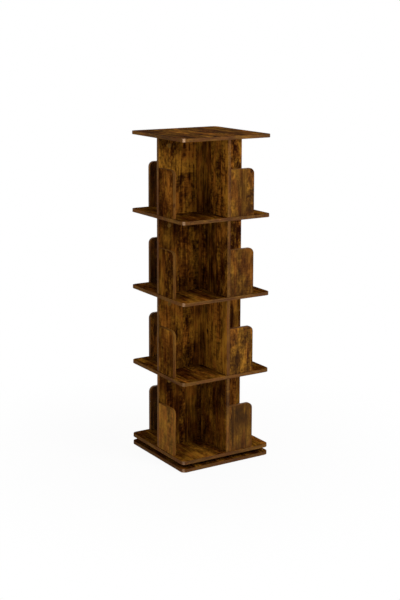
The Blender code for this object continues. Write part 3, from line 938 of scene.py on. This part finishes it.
def turned(profile, steps):
    """Spin a profile of (radius, height) points about Z and close its poles."""
    bm = bmesh.new()
    points = [bm.verts.new((radius, 0.0, height)) for radius, height in profile]
    edges = [bm.edges.new(pair) for pair in zip(points, points[1:])]
    bmesh.ops.spin(
        bm, geom=points + edges, cent=(0, 0, 0), axis=(0, 0, 1), angle=2 * math.pi,
        steps=steps, use_merge=True,
    )
    bmesh.ops.remove_doubles(bm, verts=bm.verts, dist=0.000005)
    bmesh.ops.recalc_face_normals(bm, faces=bm.faces)
    return bm


print("blocks and turned shapes ready")

# %% [markdown]
# Holes are cut with an exact Boolean. The cutter holds all the holes of a board at once, each a
# copy of one bore. Blender cuts objects and not bmeshes, so two objects are made for it and
# removed again.

# %% Copies and cuts
def add_copy(target, source, place, finish=None):
    """Put a copy of one bmesh into another, moved to a place."""
    mesh = bpy.data.meshes.new("copy")
    source.to_mesh(mesh)
    mesh.transform(place)
    known = set(target.faces)
    target.from_mesh(mesh)
    bpy.data.meshes.remove(mesh)
    if finish is not None:
        for face in target.faces:
            if face not in known:
                face.material_index = finish


def add_copies(target, source, places):
    """Put a copy of a bmesh at each place, and free the original."""
    for place in places:
        add_copy(target, source, place)
    source.free()


def cut(bm, cutter):
    """Take one closed bmesh away from another with an exact Boolean."""
    pair = []
    for name, source in (("blank", bm), ("cutter", cutter)):
        mesh = bpy.data.meshes.new(name)
        source.to_mesh(mesh)
        source.free()
        made = bpy.data.objects.new(name, mesh)
        bpy.context.scene.collection.objects.link(made)
        pair.append(made)
    blank, tool = pair
    hole = blank.modifiers.new("holes", "BOOLEAN")
    hole.operation = "DIFFERENCE"
    hole.solver = "EXACT"
    hole.object = tool
    graph = bpy.context.evaluated_depsgraph_get()
    result = bpy.data.meshes.new_from_object(blank.evaluated_get(graph))
    bm = bmesh.new()
    bm.from_mesh(result)
    bmesh.ops.remove_doubles(bm, verts=bm.verts, dist=0.000003)
    for made in pair:
        mesh = made.data
        bpy.data.objects.remove(made)
        bpy.data.meshes.remove(mesh)
    bpy.data.meshes.remove(result)
    return bm


print("copies and cuts ready")

# %% [markdown]
# The bookcase is the same after a quarter turn, so a place is worked out once, for the front, and
# turned about the axis for the other three sides.

# %% Places
def at(x, y, z):
    return Matrix.Translation((x, y, z))


def quarter(index):
    return Matrix.Rotation(index * math.pi / 2, 4, "Z")


def four_times(points, height):
    """Points (x, y) on the front side at a height, repeated for the other three sides."""
    return [quarter(index) @ at(x, y, height) for index in range(4) for x, y in points]


def round_the_axis(count, radius, height, start=0.0):
    """Places on a circle, evenly apart, the first at an angle from +X."""
    turns = [Matrix.Rotation(start + 2 * math.pi * i / count, 4, "Z") for i in range(count)]
    return [turn @ at(radius, 0, height) for turn in turns]


ALONG_X = Matrix.Rotation(math.pi / 2, 4, "Y")
AGAINST_X = Matrix.Rotation(-math.pi / 2, 4, "Y")
EIGHTH_TURN = math.pi / 4
print("four places from one:", len(four_times([(0, 0)], 0)))

# %% [markdown]
# ## Screws, bolts and dowels
#
# One screw is modelled well and then used everywhere. It is a countersunk head with a cross
# recess, on a plain shank whose thread is inside the wood. The recess is cut as two bars, one
# after the other, because a Boolean wants a cutter that doesn't cross itself, and a cross made
# of two bars does. The cam bolt and the dowel at the top of each wall go up into the shelf above.

# %% One countersunk screw, one cam bolt, one dowel
SCREW_RADIUS, SCREW_HEAD, SCREW_HEAD_HEIGHT = 0.0025, 0.0047, 0.0030
CAM_BOLT_RADIUS, DOWEL_RADIUS, SIDE_DOWEL_RADIUS = 0.0030, 0.0040, 0.0030
FIXING_LENGTH = 0.0110
SEAT = 0.0003


def cut_cross_recess(head_bm, size, depth):
    """Cut a tapered cross into a head at height 0, wide at the mouth and narrow below."""
    for index in range(2):
        bar = block((-size, -size * 0.22, -0.0005), (size, size * 0.22, depth))
        deep = [v for v in bar.verts if v.co.z > 0]
        bmesh.ops.scale(bar, vec=(0.45, 0.7, 1.0), verts=deep)
        bmesh.ops.transform(bar, matrix=quarter(index), verts=bar.verts)
        head_bm = cut(head_bm, bar)
    return head_bm


def countersunk_screw(head, shank, head_height, length):
    """A screw that points up from its head at height 0."""
    bm = turned([
        (0.0, 0.0), (head * 0.94, 0.0), (head, 0.0002),
        (shank, head_height), (shank, length), (0.0, length),
    ], 24)
    return cut_cross_recess(bm, head * 0.55, head_height * 0.75)


screw = countersunk_screw(SCREW_HEAD, SCREW_RADIUS, SCREW_HEAD_HEIGHT, BOARD + SEAT)
cam_bolt = turned([
    (0.0, 0.0), (CAM_BOLT_RADIUS, 0.0), (CAM_BOLT_RADIUS, FIXING_LENGTH - 0.0005),
    (CAM_BOLT_RADIUS - 0.0006, FIXING_LENGTH), (0.0, FIXING_LENGTH),
], 20)
dowel = turned([
    (0.0, 0.0), (DOWEL_RADIUS, 0.0), (DOWEL_RADIUS, FIXING_LENGTH - 0.0010),
    (DOWEL_RADIUS - 0.0008, FIXING_LENGTH), (0.0, FIXING_LENGTH),
], 24)
side_dowel = turned([
    (0.0, 0.0), (SIDE_DOWEL_RADIUS - 0.0006, 0.0), (SIDE_DOWEL_RADIUS, 0.0008),
    (SIDE_DOWEL_RADIUS, FIXING_LENGTH), (0.0, FIXING_LENGTH),
], 24)
print("screw:", len(screw.faces), "faces")

# %% [markdown]
# ## Shelves
#
# A shelf is a square board with round corners. Its outline is bevelled first, at the radius of
# the corners, then the rims of its two flat faces by less than a millimetre, as the edge band is
# scraped on the machine. The places of its holes are given once, for the front side, because the
# walls and stops need the same ones.

# %% Hole places, a board and its bores
EDGE_ROUND = 0.0009
WALL_MID = 0.0075
STOP_MID = -0.2135
WALL_SCREWS = ((WALL_MID, -0.191), (WALL_MID, -0.085))
STOP_SCREW = (0.091, STOP_MID)
CAM_BOLT = (WALL_MID, -0.167)
WALL_DOWEL = (WALL_MID, -0.050)
RACE_CIRCLE = 0.131
PILOT_RADIUS = 0.0023
BORE_FIT = 0.0003
OVERSHOOT = 0.001


def board(bottom, thickness):
    """A square board with round corners and slightly rounded rims."""
    bm = block((-HALF_WIDTH, -HALF_WIDTH, bottom), (HALF_WIDTH, HALF_WIDTH, bottom + thickness))
    bevel(bm, edges_along(bm, 2), CORNER_RADIUS, 12)
    bevel(bm, rims(bm, 2), EDGE_ROUND, 3)
    return bm


def countersink(head, shank, head_height, depth):
    """A cutter that opens at height 0 and goes up past the far face."""
    slope = (head - shank) / head_height
    mouth, throat = head + BORE_FIT, shank + BORE_FIT
    return turned([
        (0.0, -OVERSHOOT), (mouth + slope * OVERSHOOT, -OVERSHOOT),
        (throat, (mouth - throat) / slope), (throat, depth + OVERSHOOT), (0.0, depth + OVERSHOOT),
    ], 24)


def bore(radius, depth, steps=24):
    """A cutter for a plain hole that opens at height 0."""
    return turned([
        (0.0, -OVERSHOOT), (radius, -OVERSHOOT), (radius, depth), (0.0, depth),
    ], steps)


def outline_depth(point):
    """How far a point lies inside the outline of a board."""
    straight = HALF_WIDTH - CORNER_RADIUS
    across, along = abs(point.x) - straight, abs(point.y) - straight
    outside = math.hypot(max(across, 0.0), max(along, 0.0))
    return CORNER_RADIUS - outside - min(max(across, along), 0.0)


def finish_board(bm, bottom, thickness):
    """Print on the flat faces, band round the edge, bare chips in the holes."""
    for face in bm.faces:
        middle = face.calc_center_median()
        to_a_face = min(abs(middle.z - bottom), abs(middle.z - bottom - thickness))
        if abs(face.normal.z) > 0.999 and to_a_face < 0.00002:
            face.material_index = 0
        elif outline_depth(middle) < 0.0012:
            face.material_index = 1
        else:
            face.material_index = 2


print("the axis is", outline_depth(Vector()), "inside the outline")

# %% [markdown]
# Last come the holes: countersunk ones on the underside for the screws that go up into the walls,
# blind bores for the bolts and dowels of the walls below, and in the lowest shelf four small
# pilot holes for the screws of the turntable.

# %% The five shelves
BOARD_FINISHES = (SHELF_LAMINATE, SHELF_BAND, CHIPS)
TOP_FINISHES = (TOP_LAMINATE, SHELF_BAND, CHIPS)

for name in SHELVES:
    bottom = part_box(name)[0].z
    shelf_bm = board(bottom, BOARD)
    holes = bmesh.new()
    if name != "top_board":
        sink = countersink(SCREW_HEAD, SCREW_RADIUS, SCREW_HEAD_HEIGHT, BOARD)
        add_copies(holes, sink, four_times((*WALL_SCREWS, STOP_SCREW), bottom))
    if name != "bottom_deck":
        for radius, point in ((CAM_BOLT_RADIUS, CAM_BOLT), (DOWEL_RADIUS, WALL_DOWEL)):
            drilled = bore(radius + BORE_FIT, FIXING_LENGTH + BORE_FIT)
            add_copies(holes, drilled, four_times([point], bottom))
    else:
        pilot = bore(PILOT_RADIUS, FIXING_LENGTH)
        add_copies(holes, pilot, round_the_axis(4, RACE_CIRCLE, bottom, EIGHTH_TURN))
    shelf_bm = cut(shelf_bm, holes)
    finish_board(shelf_bm, bottom, BOARD)
    finishes = TOP_FINISHES if name == "top_board" else BOARD_FINISHES
    new_piece(name + "_board", shelf_bm, finishes, "carousel", [name])
print("shelves:", SHELVES)

# %% [markdown]
# ## Walls
#
# A wall is cut from the same board. Only its outer end shows, so only that end is banded and
# rounded; the others meet a shelf or the middle of the bookcase. The cam that pulls the wall onto
# its bolt sits behind a round plastic cap, just under the shelf above, and a bore near the outer
# end takes the dowel of the stop.

# %% One wall, its cap and its fixings
PANEL_OUTSIDE = -0.221
WALL_LOW = Vector((0.0, PANEL_OUTSIDE, SEAT))
WALL_HIGH = Vector((BOARD, -SEAT, TIER_CLEAR - SEAT))
SIDE_BORE, SIDE_BORE_DEPTH = SIDE_DOWEL_RADIUS + BORE_FIT, 0.0093
SIDE_DOWEL_UP, SIDE_DOWEL_IN_WALL = 0.140, 0.009
CAP_RADIUS, CAP_PROUD = 0.0095, 0.0008
CAP_UP = TIER_CLEAR - 0.034


def wall_panel():
    """A plain board with one banded end, and a bore near it for the dowel of the stop."""
    bm = block(WALL_LOW, WALL_HIGH)
    outer = [e for e in edges_along(bm, 2) if e.verts[0].co.y < WALL_LOW.y + 0.001]
    bevel(bm, outer, EDGE_ROUND, 3)
    drilled = bore(SIDE_BORE, SIDE_BORE_DEPTH)
    into_the_face = at(BOARD, STOP_MID, SIDE_DOWEL_UP) @ AGAINST_X
    bmesh.ops.transform(drilled, matrix=into_the_face, verts=drilled.verts)
    bm = cut(bm, drilled)
    for face in bm.faces:
        middle = face.calc_center_median()
        from_axis = math.hypot(middle.y - STOP_MID, middle.z - SIDE_DOWEL_UP)
        if middle.y < WALL_LOW.y + 0.00085:
            face.material_index = 1
        elif from_axis < SIDE_BORE + 0.0001 and 0.001 < middle.x < BOARD - 0.0001:
            face.material_index = 2
        else:
            face.material_index = 0
    return bm


def cam_cap():
    """A thin disc with a rolled rim and a small dimple for prising it out."""
    disc = turned([
        (0.0, -0.0010), (CAP_RADIUS - 0.0010, -0.0010), (CAP_RADIUS - 0.0010, 0.0),
        (CAP_RADIUS, 0.0), (CAP_RADIUS, CAP_PROUD * 0.55), (CAP_RADIUS - 0.0004, CAP_PROUD),
        (CAP_RADIUS - 0.0016, CAP_PROUD), (CAP_RADIUS - 0.0020, CAP_PROUD * 0.80),
        (0.0016, CAP_PROUD * 0.80), (0.0012, CAP_PROUD * 0.55), (0.0, CAP_PROUD * 0.50),
    ], 40)
    onto_the_wall = at(BOARD, CAM_BOLT[1], CAP_UP) @ ALONG_X
    bmesh.ops.transform(disc, matrix=onto_the_wall, verts=disc.verts)
    return disc


def wall_fixings():
    """Two screws from below, bolt and dowel on top. Finish 0 is steel, finish 1 is beech."""
    bm = bmesh.new()
    for x, y in WALL_SCREWS:
        add_copy(bm, screw, at(x, y, SEAT - BOARD), 0)
    add_copy(bm, cam_bolt, at(*CAM_BOLT, TIER_CLEAR - SEAT), 0)
    add_copy(bm, dowel, at(*WALL_DOWEL, TIER_CLEAR - SEAT), 1)
    return bm


print("a wall is", WALL_HIGH - WALL_LOW)

# %% [markdown]
# ## Low stops
#
# A stop is a low panel that stands beside the outer end of a wall and keeps things from sliding
# out. Its free top corner is rounded generously, because hands reach past it, and the band runs
# up the free end, round that corner and along the top in one piece.

# %% One low stop
STOP_LOW = Vector((BOARD + SEAT, PANEL_OUTSIDE, SEAT))
STOP_HIGH = Vector((0.136, -0.206, 0.206))
STOP_ROUND = 0.025


def stop_panel():
    """A low board, banded all round, whose free top corner is rounded."""
    bm = block(STOP_LOW, STOP_HIGH)
    middle = (STOP_LOW + STOP_HIGH) / 2
    far_side = [e for e in edges_along(bm, 1) if e.verts[0].co.x > middle.x]
    free = [e for e in far_side if e.verts[0].co.z > middle.z]
    bevel(bm, free, STOP_ROUND, 14)
    bevel(bm, rims(bm, 1), EDGE_ROUND, 3)
    for face in bm.faces:
        face.material_index = 0 if abs(face.normal.y) > 0.999 else 1
    return bm


def stop_fixings():
    """The screw from below and the dowel into the wall."""
    bm = bmesh.new()
    add_copy(bm, screw, at(*STOP_SCREW, SEAT - BOARD), 0)
    start = at(BOARD - SIDE_DOWEL_IN_WALL, STOP_MID, SIDE_DOWEL_UP)
    add_copy(bm, side_dowel, start @ ALONG_X, 1)
    return bm


print("a stop is", STOP_HIGH - STOP_LOW)

# %% [markdown]
# Every tier gets four walls and four stops, one per side. The front and back ones share their
# finishes, and so do the left and right ones. Each piece is made for the front side of a shelf at
# height 0, and its vertices are moved to their own place, so all pieces keep the same origin.

# %% Sixteen walls and sixteen stops
for tier in range(1, 5):
    floor_level = DECK_HIGH.z + (tier - 1) * TIER_PITCH
    for index, side in enumerate(SIDES):
        place = quarter(index) @ at(0, 0, floor_level)
        wall, stop = f"tier{tier}_{side}_wall", f"tier{tier}_{side}_stop"
        pair = PAIRS[index % 2]
        wall_finishes = (WALL_LAMINATES[pair, tier], WALL_BANDS[pair, tier], CHIPS)
        stop_finishes = (STOP_LAMINATES[pair, tier], STOP_BANDS[pair])
        made = (
            (wall + "_panel", wall_panel(), wall_finishes, "laminate", [wall]),
            (wall + "_cam_cap", cam_cap(), (CAP_PLASTIC,), "laminate", []),
            (wall + "_fixings", wall_fixings(), (STEEL, BEECH), "steel", []),
            (stop + "_panel", stop_panel(), stop_finishes, "laminate", [stop]),
            (stop + "_fixings", stop_fixings(), (STEEL, BEECH), "steel", []),
        )
        for name, bm, finishes, slot, stands_for in made:
            bmesh.ops.transform(bm, matrix=place, verts=bm.verts)
            new_piece(name, bm, finishes, "carousel", stands_for)

# %% [markdown]
# ## The base plate and its pads
#
# The base is a sixth board, the size of a shelf, that never turns. Four countersunk bolts come up
# through it to hold the lower race, and one open hole in it lets a screwdriver reach the screws
# of the upper race.

# %% Base plate
BASE_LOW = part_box("base_plate")[0]
BOLT_SHANK, BOLT_HEAD, BOLT_HEAD_HEIGHT = 0.0025, 0.0048, 0.0028
ACCESS_RADIUS = 0.008

base_bm = board(BASE_LOW.z, BASE_TOP - BASE_LOW.z)
holes = bmesh.new()
sink = countersink(BOLT_HEAD, BOLT_SHANK, BOLT_HEAD_HEIGHT, BOARD)
add_copies(holes, sink, round_the_axis(4, RACE_CIRCLE, BASE_LOW.z))
access = bore(ACCESS_RADIUS, BOARD + OVERSHOOT, 32)
add_copies(holes, access, round_the_axis(1, RACE_CIRCLE, BASE_LOW.z, EIGHTH_TURN))
base_bm = cut(base_bm, holes)
finish_board(base_bm, BASE_LOW.z, BASE_TOP - BASE_LOW.z)
new_piece("base_plate_board", base_bm, BOARD_FINISHES, "base", ["base_plate"])
print("base plate top at", BASE_TOP)

# %% [markdown]
# Felt pads keep the base off the floor. The lower rim of each is pressed a little by the weight.

# %% Felt pads
for number in range(1, 5):
    low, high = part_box(f"foot_pad_{number}")
    radius, tall = (high.x - low.x) / 2, high.z - low.z
    pad = turned([
        (0.0, 0.0), (radius - 0.0008, 0.0), (radius, 0.0007), (radius - 0.0001, tall), (0.0, tall),
    ], 40)
    middle = (low + high) / 2
    bmesh.ops.translate(pad, verts=pad.verts, vec=(middle.x, middle.y, low.z))
    new_piece(f"foot_pad_{number}_felt", pad, (FELT,), "base", [f"foot_pad_{number}"])
print("a pad is", radius, "in radius and", tall, "tall")

# %% [markdown]
# ## The turntable
#
# Two equal plates are pressed from sheet 1.5 mm thick. Each has a flat flange for the screws, a
# round groove for the balls, and a raised boss in the middle, where a rivet in a plastic bush
# holds the pair together. Twelve steel balls run in the groove, kept apart by a flat cage. The
# profile of a plate is spun round the axis, and a Solidify modifier gives the sheet its thickness.

# %% Race plates
GAP = DECK_LOW.z - BASE_TOP
SHEET = 0.0015
PLATE_RADIUS, FLANGE_INSIDE = 0.150, 0.114
BOSS_FOOT, BOSS_TOP = 0.020, 0.014
BALL_RADIUS, TRACK_RADIUS, BALL_COUNT = 0.004, 0.095, 12
GROOVE_RADIUS, GROOVE_STEPS = 0.0050, 8
HALF_ARC = math.radians(50)
PIN_RADIUS, PIN_HEAD, PIN_HEAD_HEIGHT = 0.005, 0.010, 0.0025
PIN_BORE = PIN_RADIUS + BORE_FIT


def plate_profile():
    """The middle line of the lower plate, from its rim to its centre hole, above the base."""
    sheet_mid = SEAT + SHEET / 2
    radius = GROOVE_RADIUS + SHEET / 2
    centre = GAP / 2 - BALL_RADIUS - SEAT + GROOVE_RADIUS
    arc = []
    for step in range(GROOVE_STEPS + 1):
        angle = HALF_ARC * (1 - 2 * step / GROOVE_STEPS)
        arc.append((TRACK_RADIUS + radius * math.sin(angle), centre - radius * math.cos(angle)))
    (outer_lip, lip), inner_lip = arc[0], arc[-1][0]
    boss = sheet_mid + SEAT + PIN_HEAD_HEIGHT + SEAT
    return [
        (PLATE_RADIUS, sheet_mid), (FLANGE_INSIDE, sheet_mid), (outer_lip + 0.004, lip), *arc,
        (inner_lip - 0.004, lip), (inner_lip - 0.010, sheet_mid),
        (BOSS_FOOT, sheet_mid), (BOSS_TOP, boss), (PIN_BORE, boss),
    ]


def race_plate(name, place, body, node):
    """A plate at a place, turned as a surface and then thickened."""
    bm = turned(plate_profile(), 96)
    bmesh.ops.transform(bm, matrix=place, verts=bm.verts)
    plate = new_piece(name, bm, (ZINC,), body, [node], crease=35)
    sheet = plate.modifiers.new("sheet", "SOLIDIFY")
    sheet.thickness = SHEET
    sheet.offset = 0.0
    sheet.use_even_offset = True
    plate.modifiers.move(plate.modifiers.find("sheet"), 0)


UPSIDE_DOWN = Matrix.Rotation(math.pi, 4, "X")
race_plate("lower_race_plate", at(0, 0, BASE_TOP), "base", "lower_race")
race_plate("upper_race_plate", at(0, 0, DECK_LOW.z) @ UPSIDE_DOWN, "carousel", "upper_race")
print("gap between base and deck:", GAP)

# %% [markdown]
# Four countersunk bolts with nuts clamp the lower plate to the base. Their nuts are hexagons with
# bevelled rims. Four short pan-head screws with pointed ends hold the upper plate to the deck, an
# eighth of a turn further on, where the open hole in the base lets a screwdriver reach them.

# %% Bolts, nuts and screws of the race plates
BOLT_LENGTH = 0.0205
NUT_RADIUS, NUT_HEIGHT = 0.0046, 0.004
PAN_RADIUS, PAN_SHANK, PAN_SHOWS = 0.0040, 0.0020, 0.0022

base_bolt = countersunk_screw(BOLT_HEAD, BOLT_SHANK, BOLT_HEAD_HEIGHT, BOLT_LENGTH)
nut = bmesh.new()
bmesh.ops.create_cone(
    nut, cap_ends=True, segments=6, radius1=NUT_RADIUS, radius2=NUT_RADIUS, depth=NUT_HEIGHT,
)
bevel(nut, rims(nut, 2), 0.0003, 2)
bolts_bm = bmesh.new()
nut_level = BASE_TOP + SEAT + SHEET + NUT_HEIGHT / 2
for fixing, level in ((base_bolt, BASE_LOW.z + SEAT), (nut, nut_level)):
    add_copies(bolts_bm, fixing, round_the_axis(4, RACE_CIRCLE, level))
new_piece("lower_race_bolts", bolts_bm, (STEEL,), "base")

pan_head = turned([
    (0.0, 0.0), (0.0020, 0.0), (0.0034, 0.0002), (PAN_RADIUS, 0.0008), (PAN_RADIUS, 0.0024),
    (PAN_SHANK, 0.0025), (PAN_SHANK, 0.0112), (0.0, 0.0147),
], 24)
pan_head = cut_cross_recess(pan_head, PAN_RADIUS * 0.6, 0.0016)
screws_bm = bmesh.new()
head_level = DECK_LOW.z - SEAT - SHEET - PAN_SHOWS
add_copies(screws_bm, pan_head, round_the_axis(4, RACE_CIRCLE, head_level, EIGHTH_TURN))
new_piece("upper_race_screws", screws_bm, (STEEL,), "carousel")
print("race fixings: four bolts, four nuts and four screws")

# %% [markdown]
# The balls and their cage ride on the ball ring, which goes round at half the speed of the
# carousel. The cage is a flat ring with a pocket for each ball, a little wider than the ball.

# %% Balls and cage
CAGE_HALF_WIDTH = 0.0085
POCKET_RADIUS, POCKET_DEPTH = 0.0047, 0.003

for number in range(1, BALL_COUNT + 1):
    node = f"bearing_ball_{number}"
    low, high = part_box(node)
    ball = bmesh.new()
    bmesh.ops.create_uvsphere(ball, u_segments=24, v_segments=14, radius=BALL_RADIUS)
    bmesh.ops.translate(ball, verts=ball.verts, vec=(low + high) / 2)
    new_piece(node + "_steel", ball, (STEEL,), "ball_ring", [node])

cage_low, cage_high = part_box("ball_cage")
inner, outer = TRACK_RADIUS - CAGE_HALF_WIDTH, TRACK_RADIUS + CAGE_HALF_WIDTH
cage_bm = turned([
    (inner, cage_high.z), (outer, cage_high.z), (outer, cage_low.z),
    (inner, cage_low.z), (inner, cage_high.z),
], 96)
pockets = bmesh.new()
pocket = bore(POCKET_RADIUS, POCKET_DEPTH)
add_copies(pockets, pocket, round_the_axis(BALL_COUNT, TRACK_RADIUS, cage_low.z))
new_piece("ball_cage_ring", cut(cage_bm, pockets), (NYLON,), "ball_ring", ["ball_cage"])
print("balls:", BALL_COUNT)

# %% [markdown]
# The rivet is the king pin. Its two heads have rolled rims, and it holds the plates together in
# a plastic bush, which keeps steel from rubbing on steel.

# %% Rivet and bush
pin_low, pin_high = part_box("king_pin")
tall = pin_high.z - pin_low.z
rim = ((PIN_HEAD - 0.0012, 0.0), (PIN_HEAD - 0.0003, 0.0004), (PIN_HEAD, 0.0012))
far_rim = [(radius, tall - height) for radius, height in reversed(rim)]
rivet = turned([
    (0.0, 0.0), *rim,
    (PIN_HEAD, PIN_HEAD_HEIGHT), (PIN_RADIUS, PIN_HEAD_HEIGHT),
    (PIN_RADIUS, tall - PIN_HEAD_HEIGHT), (PIN_HEAD, tall - PIN_HEAD_HEIGHT),
    *far_rim, (0.0, tall),
], 48)
bmesh.ops.translate(rivet, verts=rivet.verts, vec=(0, 0, pin_low.z))
new_piece("king_pin_rivet", rivet, (STEEL,), "base", ["king_pin"])

bush_low, bush_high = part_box("centre_bush")
BUSH_RADIUS, CHAMFER = 0.009, 0.0003
bush = turned([
    (PIN_BORE, bush_low.z),
    (BUSH_RADIUS - CHAMFER, bush_low.z), (BUSH_RADIUS, bush_low.z + CHAMFER),
    (BUSH_RADIUS, bush_high.z - CHAMFER), (BUSH_RADIUS - CHAMFER, bush_high.z),
    (PIN_BORE, bush_high.z), (PIN_BORE, bush_low.z),
], 48)
new_piece("centre_bush_sleeve", bush, (NYLON,), "base", ["centre_bush"])
print("rivet", tall, "tall, bush", bush_high.z - bush_low.z, "tall")
